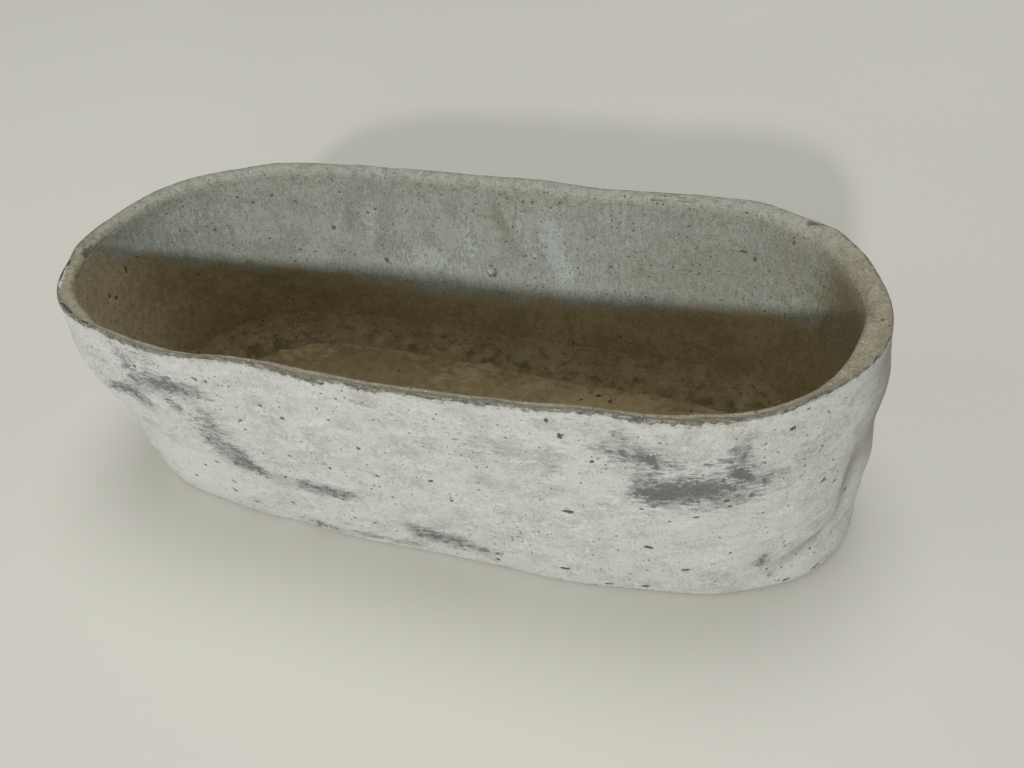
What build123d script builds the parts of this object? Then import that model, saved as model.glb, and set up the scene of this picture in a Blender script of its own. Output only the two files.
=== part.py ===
from build123d import *
from math import cos, exp, pi, sin
import os

# A hand-formed cement trough. An oval wall band stands round a floor slab, with a mortar
# bead pointed along the inside corner. A thin skim covers the inside of the wall, and a
# dark cement slip with limewash over it covers the outside. The rim is bare.
# Millimetres. +X runs along the trough, -Y is its front, +Z is up.
# The origin lies on the surface that the trough stands on, under its middle.

# Overall form
rim_length = 380.0
rim_width = 162.0
height = 110.0

# How far each side leans in from the rim to the foot, and how far the walls belly out
left_lean = 8.0
right_lean = 1.5
front_lean = 9.0
back_lean = 12.0
belly = 1.2

# The plan is a flattened oval: |x / half length| ^ end_power + |y / half width| ^ side_power = 1
end_power = 4.6
side_power = 2.0

# Uneven places that the hands left in the long sides: two soft swells and a flat. Each is
# at a share of the way round from the right end, with the back first
front_swell = 2.5
front_swell_place_share = 0.75
back_left_swell = 2.5
back_left_swell_place_share = 0.355
back_right_flat = 3.5
back_right_flat_place_share = 0.19
swell_spread_share = 0.05

# Wall and floor
side_wall_at_rim = 6.0
end_wall_at_rim = 9.0
wall_thickening_to_foot = 3.0
floor_thickness = 9.0
foot_chamfer = 2.5

# Mortar bead in the inside corner
bead_width = 9.0
bead_height = 8.0
bead_lip = 1.4

# Skins
slip_thickness = 0.8
limewash_thickness = 0.5
skim_thickness = 0.6
skins_stop_above_foot = 3.0
slip_stop_below_rim = 0.4
limewash_stop_below_rim = 1.6
skim_stop_below_rim = 1.2

# How finely the curved faces are drawn
quarter_spans = 6
levels = 3
cut_overrun = 4.0


def swell_at(place, centre_share, size):
    """Gives a soft swell at a place along the outline, both as shares of a full turn."""
    away = (place - centre_share) / swell_spread_share
    return size * exp(-(away**2))


def outline_point(place, centre, half_length, half_width, level):
    """Gives the point of an oval at a place, a share of the full turn round it."""
    along = cos(2 * pi * place)
    side = 1 if place <= 0.5 else -1
    across = (1 - min(abs(along), 1) ** end_power) ** (1 / side_power)
    swell = swell_at(place, front_swell_place_share, front_swell)
    swell += swell_at(place, back_left_swell_place_share, back_left_swell)
    swell -= swell_at(place, back_right_flat_place_share, back_right_flat)
    x = centre[0] + half_length * along
    y = centre[1] + side * (half_width * across + swell)
    return Vector(x, y, level)


def outline_at(level, end_inset, side_inset):
    """Draws the plan at a level, with the outer face moved in by the insets."""
    down_share = 1 - level / height
    left = rim_length / 2 - left_lean * down_share
    right = rim_length / 2 - right_lean * down_share
    front = rim_width / 2 - front_lean * down_share
    back = rim_width / 2 - back_lean * down_share
    bulge = belly * sin(pi * down_share)
    centre = ((right - left) / 2, (back - front) / 2)
    half_length = (left + right) / 2 + bulge - end_inset
    half_width = (front + back) / 2 + bulge - side_inset
    headings = [(0, 1), (-1, 0), (0, -1), (1, 0), (0, 1)]
    quarters = []
    for quarter in range(4):
        points = []
        for span in range(quarter_spans + 1):
            place = (quarter + span / quarter_spans) / 4 % 1
            points.append(outline_point(place, centre, half_length, half_width, level))
        ends = headings[quarter : quarter + 2]
        quarters.append(Spline(*points, tangents=ends, tangent_scalars=(1, 1)))
    return Wire(quarters)


low = -cut_overrun
high = height + cut_overrun


def solid_within(end_inset, side_inset, thickening):
    """Makes the solid inside a face that lies a given way in from the outer face.

    The insets hold at the rim, and thickening is added to both evenly down to the foot.
    The solid runs past the rim and the foot.
    """
    sections = []
    for index in range(levels):
        level = low + (high - low) * index / (levels - 1)
        more = thickening * (1 - level / height)
        sections.append(outline_at(level, end_inset + more, side_inset + more))
    return Solid.make_loft(sections)


def layer(bottom, top):
    """Makes a block wider than the whole trough between two levels."""
    block = Box(2 * rim_length, 2 * rim_width, top - bottom)
    return Pos(0, 0, (bottom + top) / 2) * block


# The faces between the pieces, from the outside in
skins = limewash_thickness + slip_thickness
end_hollow = end_wall_at_rim
side_hollow = side_wall_at_rim
outside = solid_within(0, 0, 0)
under_limewash = solid_within(limewash_thickness, limewash_thickness, 0)
under_slip = solid_within(skins, skins, 0)
under_skim = solid_within(end_hollow, side_hollow, wall_thickening_to_foot)
inside = solid_within(
    end_hollow + skim_thickness, side_hollow + skim_thickness, wall_thickening_to_foot
)
bead_top = floor_thickness + bead_height


def make_wall_band():
    """The cement wall, open above and below, with its foot edge chamfered all round."""
    sections = []
    for level in (low, high):
        inset = skins + foot_chamfer - level
        sections.append(outline_at(level, inset, inset))
    chamfer_cone = Solid.make_loft(sections)
    return (under_slip & layer(0, height) & chamfer_cone) - under_skim


def make_floor_slab():
    """The floor, cast inside the wall band and level with its foot."""
    return under_skim & layer(0, floor_thickness)


def make_corner_bead():
    """The mortar pointed along the inside corner, sloping from the wall to the floor."""
    ring = under_skim & layer(floor_thickness, bead_top)
    slope = (bead_width - bead_lip) / bead_height
    sections = []
    for level in (floor_thickness - cut_overrun, bead_top + cut_overrun):
        from_wall = bead_lip + (bead_top - level) * slope
        more = wall_thickening_to_foot * (1 - level / height) + from_wall
        sections.append(outline_at(level, end_hollow + more, side_hollow + more))
    return ring - Solid.make_loft(sections)


def make_inner_skim():
    """The cement skim over the inside of the wall, from the bead to just under the rim."""
    skin = under_skim & layer(bead_top, height - skim_stop_below_rim)
    return skin - inside


def make_grey_slip():
    """The dark cement slip over the outside of the wall."""
    skin = under_limewash & layer(skins_stop_above_foot, height - slip_stop_below_rim)
    return skin - under_slip


def make_limewash():
    """The pale limewash over the slip."""
    skin = outside & layer(skins_stop_above_foot, height - limewash_stop_below_rim)
    return skin - under_limewash


nodes = {
    "wall_band": make_wall_band(),
    "floor_slab": make_floor_slab(),
    "corner_bead": make_corner_bead(),
    "inner_skim": make_inner_skim(),
    "grey_slip": make_grey_slip(),
    "limewash": make_limewash(),
}

# The lean of the ends moves the widest places off centre, so the origin is set last.
# Nothing reaches further out than the limewash
middle = nodes["limewash"].bounding_box().center()
to_origin = Pos(-middle.X, -middle.Y, 0)

os.makedirs("parts", exist_ok=True)
for name, shape in nodes.items():
    export_step(to_origin * shape, f"parts/{name}.step")
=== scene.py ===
import math

import bpy
import numpy as np
from mathutils import Matrix, Vector


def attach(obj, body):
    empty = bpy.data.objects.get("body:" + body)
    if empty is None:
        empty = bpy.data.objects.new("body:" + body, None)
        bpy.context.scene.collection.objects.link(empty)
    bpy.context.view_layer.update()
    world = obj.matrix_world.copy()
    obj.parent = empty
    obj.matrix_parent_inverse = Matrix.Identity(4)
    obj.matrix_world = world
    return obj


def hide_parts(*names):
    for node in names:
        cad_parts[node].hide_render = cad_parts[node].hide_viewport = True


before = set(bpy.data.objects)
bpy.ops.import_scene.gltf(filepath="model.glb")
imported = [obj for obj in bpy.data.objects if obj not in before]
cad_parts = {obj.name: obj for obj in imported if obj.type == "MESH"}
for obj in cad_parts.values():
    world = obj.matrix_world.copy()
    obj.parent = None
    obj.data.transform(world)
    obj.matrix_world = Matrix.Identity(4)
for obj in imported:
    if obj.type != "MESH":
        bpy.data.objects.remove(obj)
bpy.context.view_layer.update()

# A hand-formed cement trough: an oval wall band round a floor slab, a mortar bead in the
# inside corner, a thin skim on the inside, and dark slip with limewash over it outside.
# Shapes are worked out in millimetres, as in the part's source, and go into the meshes in
# metres. A place round the trough is a share of the turn, from the right end by way of the
# back. "Around" is the same place as a length in millimetres, measured at mid height.

trough = {
    "rimLength": 380.0,
    "rimWidth": 162.0,
    "height": 110.0,
    "leftLean": 8.0,
    "rightLean": 1.5,
    "frontLean": 9.0,
    "backLean": 12.0,
    "belly": 1.2,
    "endPower": 4.6,
    "sidePower": 2.0,
    "swells": [(0.75, 2.5), (0.355, 2.5), (0.19, -3.5)],  # place, size
    "swellSpread": 0.05,
    "endWall": 9.0,
    "sideWall": 6.0,
    "thickening": 3.0,  # of the wall, from rim to foot
    "floorTop": 9.0,
    "skinFoot": 3.0,
    "limewashTop": 1.6,  # below the rim
}


# Plan of the trough at a level: x = middle + half length * c and
# y = middle +- (half width * (1 - |c| ^ endPower) ^ (1 / sidePower) + swells), c = cos(turn)
def outline(place, level, endInset=0.0, sideInset=0.0):
    t = trough
    down = 1 - level / t["height"]
    left = t["rimLength"] / 2 - t["leftLean"] * down
    right = t["rimLength"] / 2 - t["rightLean"] * down
    front = t["rimWidth"] / 2 - t["frontLean"] * down
    back = t["rimWidth"] / 2 - t["backLean"] * down
    bulge = t["belly"] * np.sin(np.pi * down)
    along = np.cos(2 * np.pi * place)
    across = np.maximum(1 - np.abs(along) ** t["endPower"], 0) ** (1 / t["sidePower"])
    swell = 0
    for centre, size in t["swells"]:
        swell = swell + size * np.exp(-(((place % 1) - centre) / t["swellSpread"]) ** 2)
    side = np.where(place % 1 <= 0.5, 1.0, -1.0)
    x = (right - left) / 2 + ((left + right) / 2 + bulge - endInset) * along
    y = (back - front) / 2 + side * (((front + back) / 2 + bulge - sideInset) * across + swell)
    return x, y


perMetre = 1000  # millimetres
fineSteps = 8000
finePlaces = np.linspace(0, 1, fineSteps + 1)
midX, midY = outline(finePlaces, trough["height"] / 2)
fineAround = np.concatenate([[0], np.cumsum(np.hypot(np.diff(midX), np.diff(midY)))])
girth = fineAround[-1]

# The part's origin is under the middle of its limewash, the widest piece
washLevels = np.linspace(trough["skinFoot"], trough["height"] - trough["limewashTop"], 30)
washX, washY = outline(finePlaces[:, None], washLevels[None, :])
middle = np.array([(washX.min() + washX.max()) / 2, (washY.min() + washY.max()) / 2, 0])


def placeAt(around):
    return np.interp(around % girth, fineAround, finePlaces)


def columnsRound(count):
    return np.linspace(0, girth, count, endpoint=False)[:, None]


# Unit vector in plan that points out of the trough: the outline's tangent, turned a quarter
def outward(place, level):
    step = 2e-4  # of a turn
    x0, y0 = outline(place - step, level)
    x1, y1 = outline(place + step, level)
    dx, dy = x1 - x0, y1 - y0
    size = np.hypot(dx, dy)
    return dy / size, -dx / size


# Cubic B-spline weight at distance t from a lattice point
def splineWeight(t):
    t = np.abs(t)
    near = 2 / 3 - t * t + t**3 / 2
    far = np.maximum(2 - t, 0) ** 3 / 6
    return np.where(t < 1, near, far)


# Soft noise from about -1 to 1: random heights on a lattice, blended by the spline weight in
# both directions
def latticeNoise(a, b, heights):
    columns, rows = heights.shape
    ia, ib = np.floor(a).astype(int), np.floor(b).astype(int)
    total = np.zeros(a.shape)
    for i in range(-1, 3):
        weight = splineWeight(a - ia - i)
        for j in range(-1, 3):
            picked = heights[(ia + i) % columns, (ib + j) % rows]
            total += picked * weight * splineWeight(b - ib - j)
    return 1.9 * total


# Soft noise on the wall, from a lattice that closes round the trough
def softNoise(around, up, stepAround, stepUp, seed):
    around, up = np.broadcast_arrays(around, up)
    columns, rows = max(4, round(girth / stepAround)), 96
    heights = np.random.default_rng(seed).uniform(-1, 1, (columns, rows))
    return latticeNoise(around / girth * columns, up / stepUp + rows / 3, heights)


# The same along a line round the trough
def edgeNoise(around, step, seed):
    return softNoise(around, 0.0, step, 1.0, seed)


# Adds soft noises to a base: step round, step up, size, seed
def roughen(base, around, up, rows):
    for stepAround, stepUp, size, seed in rows:
        base = base + size * softNoise(around, up, stepAround, stepUp, seed)
    return base


def smooth(low, high, value):
    t = np.clip((value - low) / (high - low), 0, 1)
    return t * t * (3 - 2 * t)


# 1 within a stretch, with soft ends, and 0 outside it. The four ends go upwards
def within(ends, value):
    start, full, last, stop = ends
    return smooth(start, full, value) * smooth(stop, last, value)


# Distance round the trough from one place to another, the short way
def gapAround(around, centre):
    return (around - centre + girth / 2) % girth - girth / 2


# Sum of soft bells round the trough: size * exp(-(distance / reach) ^ 2)
def bells(around, rows):
    total = np.zeros(np.shape(around))
    for centre, reach, size in rows:
        total += size * np.exp(-((gapAround(around, centre) / reach) ** 2))
    return total


# Ways from the centre of an oval along its two axes, as shares of its half sizes. Tilt is
# in degrees
def ovalShares(around, up, centre, level, long, tall, tilt):
    da, dz = gapAround(around, centre), up - level
    c, s = math.cos(math.radians(tilt)), math.sin(math.radians(tilt))
    return (da * c + dz * s) / long, (dz * c - da * s) / tall


# Sum of soft mounds: size * exp(-a ^ 2 - b ^ 2), with a and b the shares of an oval
def mounds(around, up, rows):
    total = np.zeros(np.broadcast(around, up).shape)
    for *oval, size in rows:
        a, b = ovalShares(around, up, *oval)
        total += size * np.exp(-(a**2) - b**2)
    return total


# Depth of a rounded edge of radius r at a distance d from its end: r - sqrt(r^2 - (r - d)^2)
def roundIn(d, r):
    left = np.clip(r - d, 0, r)
    return r - np.sqrt(np.maximum(r * r - left * left, 0))


# Uneven form of the whole wall, in millimetres outwards: around, level, long, tall, tilt, size
form = {
    "hands": [
        # back
        (330, 100, 46, 80, 0, 1.2), (412, 104, 22, 70, 0, 1.9), (250, 100, 46, 80, 0, 1.7),
        (206, 104, 18, 70, 0, 1.3), (130, 100, 40, 80, 0, 1.9), (97, 104, 14, 60, 0, 3.2),
        (62, 104, 12, 60, 0, 2.0), (295, 100, 105, 80, 0, 1.0), (350, 100, 14, 60, 0, 1.2),
        (268, 100, 12, 60, 0, 0.9), (215, 100, 26, 70, 0, 0.8), (402, 100, 24, 70, 0, 0.7),
        (24, 104, 13, 30, 0, -1.1), (120, 60, 60, 30, 5, 0.9), (210, 30, 45, 18, -6, -0.9),
        (330, 70, 50, 24, 8, 0.8),
        # left end
        (489, 104, 12, 14, 0, -2.0), (533, 80, 26, 19, 0, 5.0), (536, 64, 18, 12, 0, 1.2),
        (530, 106, 16, 9, 0, 0.6), (535, 30, 20, 14, 10, -1.0), (548, 14, 22, 12, 0, 1.3),
        (524, 20, 12, 10, 0, 1.0),
        # front
        (668, 100, 34, 60, 0, -0.4), (634, 100, 24, 50, 0, -1.9), (742, 104, 40, 30, 0, -0.9),
        (795, 100, 45, 60, 0, -0.6), (560, 104, 24, 20, 0, -1.3), (605, 104, 12, 20, 0, 0.9),
        (645, 104, 9, 20, 0, -1.3), (680, 104, 12, 20, 0, -1.0), (745, 104, 8, 20, 0, -1.0),
        (780, 104, 14, 20, 0, -2.0), (823, 104, 8, 20, 0, -1.1), (700, 30, 50, 22, 5, 0.8),
        (750, 62, 40, 20, -8, -0.7), (604, 2, 14, 14, 0, 1.2), (762, 2, 34, 26, 0, 3.0),
        (650, 2, 26, 24, 0, 1.9), (822, 2, 22, 24, 0, 1.7),
        # right end, with a slanting crease over a lip at the foot
        (866, 104, 16, 24, 0, -1.8), (906, 86, 16, 17, 0, 2.8), (909, 44, 16, 16, 0, 2.6),
        (905, 24, 10, 8, 0, 1.0), (870, 56, 16, 16, 0, 0.8), (871, 31, 11, 8, 10, 1.2),
        (874, 3, 28, 9, 6, 3.4), (905, 4, 16, 12, 0, 1.6), (866, 19, 25, 5.0, 22, -2.2),
        (888, 45, 5.5, 19, 0, -2.0),
    ],
    "uneven": [(58.0, 34.0, 0.75, 21), (19.0, 11.0, 0.26, 22)],  # step round, step up, size, seed
    "setBack": 0.5,
    "rimRound": 1.4,
    "footRound": 2.0,
}

# The rim below the full height, and how much thinner the wall is there than in the plan:
# around, reach, size
rim = {
    "sags": [
        (178, 14, 0.6), (300, 60, 0.3), (445, 24, 0.6), (586, 26, 1.4), (822, 16, 1.0),
        (30, 24, 0.4),
    ],
    "rough": [(14.0, 0.28, 11), (5.5, 0.16, 12), (2.4, 0.10, 13)],  # step, size, seed
    "below": 0.5,
    "thinner": [
        (568, 30, 1.8), (530, 16, -0.6), (606, 14, 0.6), (660, 18, -1.3), (765, 45, 0.9),
        (549, 9, 1.4), (742, 12, 0.6), (818, 22, 0.4), (842, 12, 1.5), (862, 16, 3.2),
        (902, 16, -2.0), (8, 22, -1.2),
    ],
}


def rimTop(around):
    sag = rim["below"] + bells(around, rim["sags"])
    for step, size, seed in rim["rough"]:
        sag = sag + size * edgeNoise(around, step, seed)
    return trough["height"] - np.maximum(sag, 0.0)


def formAt(around, level):
    bump = mounds(around, level, form["hands"])
    return roughen(bump, around, level, form["uneven"]) - form["setBack"]


# Points of the plan, pushed outwards
def pushed(x, y, place, level, push):
    nx, ny = outward(place, level)
    return np.stack([x + nx * push, y + ny * push, level + 0 * push], axis=-1)


# A point of the outer face, moved out by the form and in by the inset and the rounded edges
def outerFace(around, level, inset):
    place = placeAt(around)
    below = rimTop(around) - level
    push = formAt(around, level) - inset
    push = push - roundIn(below, form["rimRound"]) - roundIn(level, form["footRound"])
    return pushed(*outline(place, level), place, level, push)


hollow = {
    "follows": 0.7,  # share of the outer form that the inner face repeats
    "uneven": [(46.0, 30.0, 0.7, 31), (15.0, 17.0, 0.22, 32)],  # step round, step up, size, seed
    # height of the rounded lip below the rim, and how much the right end adds: around, reach, size
    "lipFront": 1.8,
    "lipBack": 4.2,
    "lipEnd": [(40, 32, 3.5)],
    "thinFront": 1.2,
    "thinReach": 40,
    # folds and rubbed places: around, level, long, tall, tilt, size
    "folds": [
        (314, 84, 17, 2.0, 96, 1.0), (320, 84, 17, 4.0, 96, -0.5), (222, 90, 15, 2.4, 65, 0.8),
        (227, 88, 15, 4.0, 65, -0.4), (197, 80, 26, 6.0, 88, 0.6), (182, 74, 18, 3.0, 80, -0.5),
        (396, 88, 20, 7.0, 60, 0.5), (350, 72, 26, 9.0, 80, -0.5), (262, 66, 24, 9.0, 80, 0.5),
        (140, 78, 40, 12.0, 5, 0.5), (100, 90, 18, 8.0, 30, -0.5), (560, 60, 26, 10.0, 80, 0.6),
        (640, 66, 30, 12.0, 70, -0.6), (720, 60, 26, 10.0, 96, 0.6), (800, 66, 30, 12.0, 85, -0.6),
    ],
}


def backShare(around):
    return smooth(-0.3, 0.3, np.sin(2 * np.pi * around / girth))


def lipAt(around):
    h = hollow
    lip = h["lipFront"] + (h["lipBack"] - h["lipFront"]) * backShare(around)
    return lip + bells(around, h["lipEnd"])


# A point of the inner face, moved into the wall by the inset and the rounded lip
def innerFace(around, level, inset):
    place = placeAt(around)
    more = trough["thickening"] * (1 - level / trough["height"])
    x, y = outline(place, level, trough["endWall"] + more, trough["sideWall"] + more)
    below = rimTop(around) - level
    push = hollow["follows"] * formAt(around, level) + inset + roundIn(below, lipAt(around))
    push = roughen(push, around, level, hollow["uneven"]) - mounds(around, level, hollow["folds"])
    thinner = bells(around, rim["thinner"]) + hollow["thinFront"] * (1 - backShare(around))
    push = push + thinner * smooth(hollow["thinReach"], 0, below)
    return pushed(x, y, place, level, push)


# Adds hidden rows before and after the shown ones of a grid, with one value
def padRows(grid, after, value=0.0, before=0):
    return np.pad(grid, ((0, 0), (before, after)), constant_values=value)


# Turns a grid of points (columns round the trough, rows round a closed section) into a mesh.
# Ends that don't meet are closed with one face each. Faces that point inwards are turned
def sectionMesh(name, points, closed, fields=None):
    columns, rows = points.shape[:2]
    flat = (points.reshape(-1, 3) - middle) / perMetre
    index = np.arange(columns * rows).reshape(columns, rows)
    first = index if closed else index[:-1]
    second = np.roll(index, -1, axis=0) if closed else index[1:]
    corners = [first, second, np.roll(second, -1, axis=1), np.roll(first, -1, axis=1)]
    quads = np.stack(corners, axis=-1).reshape(-1, 4)
    a, b, c, d = (flat[quads[:, k]] for k in range(4))
    volume = np.sum(a * np.cross(b, c)) + np.sum(a * np.cross(c, d))
    faces = (quads if volume > 0 else quads[:, ::-1]).tolist()
    if not closed:
        ends = [index[0].tolist(), index[-1][::-1].tolist()]
        faces += ends if volume > 0 else [end[::-1] for end in ends]
    mesh = bpy.data.meshes.new(name)
    mesh.from_pydata(flat.tolist(), [], faces)
    mesh.polygons.foreach_set("use_smooth", np.ones(len(mesh.polygons), bool))
    for key, values in (fields or {}).items():
        layer = mesh.attributes.new(key, "FLOAT", "POINT")
        layer.data.foreach_set("value", np.ascontiguousarray(values, np.float32).ravel())
    mesh.validate()
    piece = bpy.data.objects.new(name, mesh)
    bpy.context.scene.collection.objects.link(piece)
    return piece


# Smooth normals of an open grid, from its tangents both ways, so that two pieces that meet
# share them along their seam
def gridNormals(points):
    along, up = np.gradient(points, axis=0), np.gradient(points, axis=1)
    normal = np.cross(along, up)
    return normal / np.linalg.norm(normal, axis=-1, keepdims=True)


def fit(piece, node, paint):
    piece.data.materials.append(paint)
    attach(piece, "root")
    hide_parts(node)
    print(f"{piece.name}: {len(piece.data.polygons)} faces")


# A Socket is one output of a node, and its operators add Math nodes
class Socket:
    def __init__(self, paint, output):
        self.paint, self.output = paint, output

    def maths(self, operation, *values):
        return self.paint.add("Math", {"operation": operation}, dict(enumerate(values)))

    def __add__(self, other):
        return self.maths("ADD", self, other)

    def __sub__(self, other):
        return self.maths("SUBTRACT", self, other)

    def __rsub__(self, other):
        return self.maths("SUBTRACT", other, self)

    def __mul__(self, other):
        return self.maths("MULTIPLY", self, other)

    def larger(self, other):
        return self.maths("MAXIMUM", self, other)

    # 0 at low, 1 at high, with soft ends
    def step(self, low, high):
        sockets = {"Value": self, "From Min": low, "From Max": high}
        return self.paint.add("MapRange", {"interpolation_type": "SMOOTHSTEP"}, sockets)

    # Another output of the same node
    def also(self, name):
        return Socket(self.paint, self.output.node.outputs[name])


class Paint:
    def __init__(self, tree):
        self.tree, self.body = tree, None
        tree.nodes.clear()

    # Any node: its type, its settings, then the values or links of its sockets
    def add(self, kind, settings=None, sockets=None, out=0):
        node = self.tree.nodes.new("ShaderNode" + kind)
        for key, value in (settings or {}).items():
            setattr(node, key, value)
        for key, value in (sockets or {}).items():
            if isinstance(value, Socket):
                self.tree.links.new(value.output, node.inputs[key])
            else:
                node.inputs[key].default_value = value
        return Socket(self, node.outputs[out]) if node.outputs else None

    # Object coordinates, drawn out along the trough, turned by rise degrees and moved by a
    # shift in metres
    def spot(self, along=1.0, shift=0.0, rise=0.0):
        sockets = {"Vector": self.add("TexCoord", out="Object"), "Scale": (along, along, 1.0),
                   "Rotation": (0.0, -math.radians(rise), 0.0),
                   "Location": (shift, shift * 0.7, shift * 0.3)}
        return self.add("Mapping", {"vector_type": "TEXTURE"}, sockets)

    # Noise whose marks are a size in millimetres
    def noise(self, size, detail=2.0, rough=0.5, along=1.0, shift=0.0, twist=0.0, rise=0.0):
        sockets = {"Vector": self.spot(along, shift, rise), "Scale": perMetre / size,
                   "Detail": detail, "Roughness": rough, "Distortion": twist}
        return self.add("TexNoise", sockets=sockets)

    # Round marks scattered about a step apart. Share is how many of them are there, 0 to 1
    def marks(self, step, radius, share, along=1.0, shift=0.0):
        place = {"Vector": self.spot(along, shift), "Scale": perMetre / step}
        cells = self.add("TexVoronoi", {"feature": "F1"}, place)
        chance = self.add("SeparateColor", sockets={0: cells.also("Color")})
        reach = (chance.also("Green") * 0.75 + 0.25) * (radius / step)
        inside = ((reach - cells) * (3.0 * step / radius)).step(0.0, 1.0)
        return inside * (share - chance).step(0.0, 0.05)

    def mix(self, a, b, amount):
        return self.add("Mix", {"data_type": "RGBA"}, {0: amount, 6: a, 7: b}, out=2)

    # Lays a colour, given as it looks on the screen, over the body colour so far
    def lay(self, colour, amount):
        self.body = self.mix(self.body, tone(*colour), amount)

    def fields(self, *names):
        return [self.add("Attribute", {"attribute_name": n}, out="Fac") for n in names]

    # Height is in millimetres
    def finish(self, roughness, height):
        normal = self.add("Bump", sockets={"Height": height, "Distance": 1 / perMetre, "Strength": 1.0})
        sockets = {"Base Color": self.body, "Roughness": roughness, "Normal": normal,
                   "Specular IOR Level": 0.25}
        self.add("OutputMaterial", sockets={0: self.add("BsdfPrincipled", sockets=sockets)})


def newPaint(name):
    material = bpy.data.materials.new(name)
    material.use_nodes = True
    return material, Paint(material.node_tree)


# A colour as it looks on the screen, 0 to 255, turned into the shader's own scale
def tone(red, green, blue):
    parts = [v / 255 for v in (red, green, blue)]
    return (*[v / 12.92 if v <= 0.04045 else ((v + 0.055) / 1.055) ** 2.4 for v in parts], 1.0)


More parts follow.
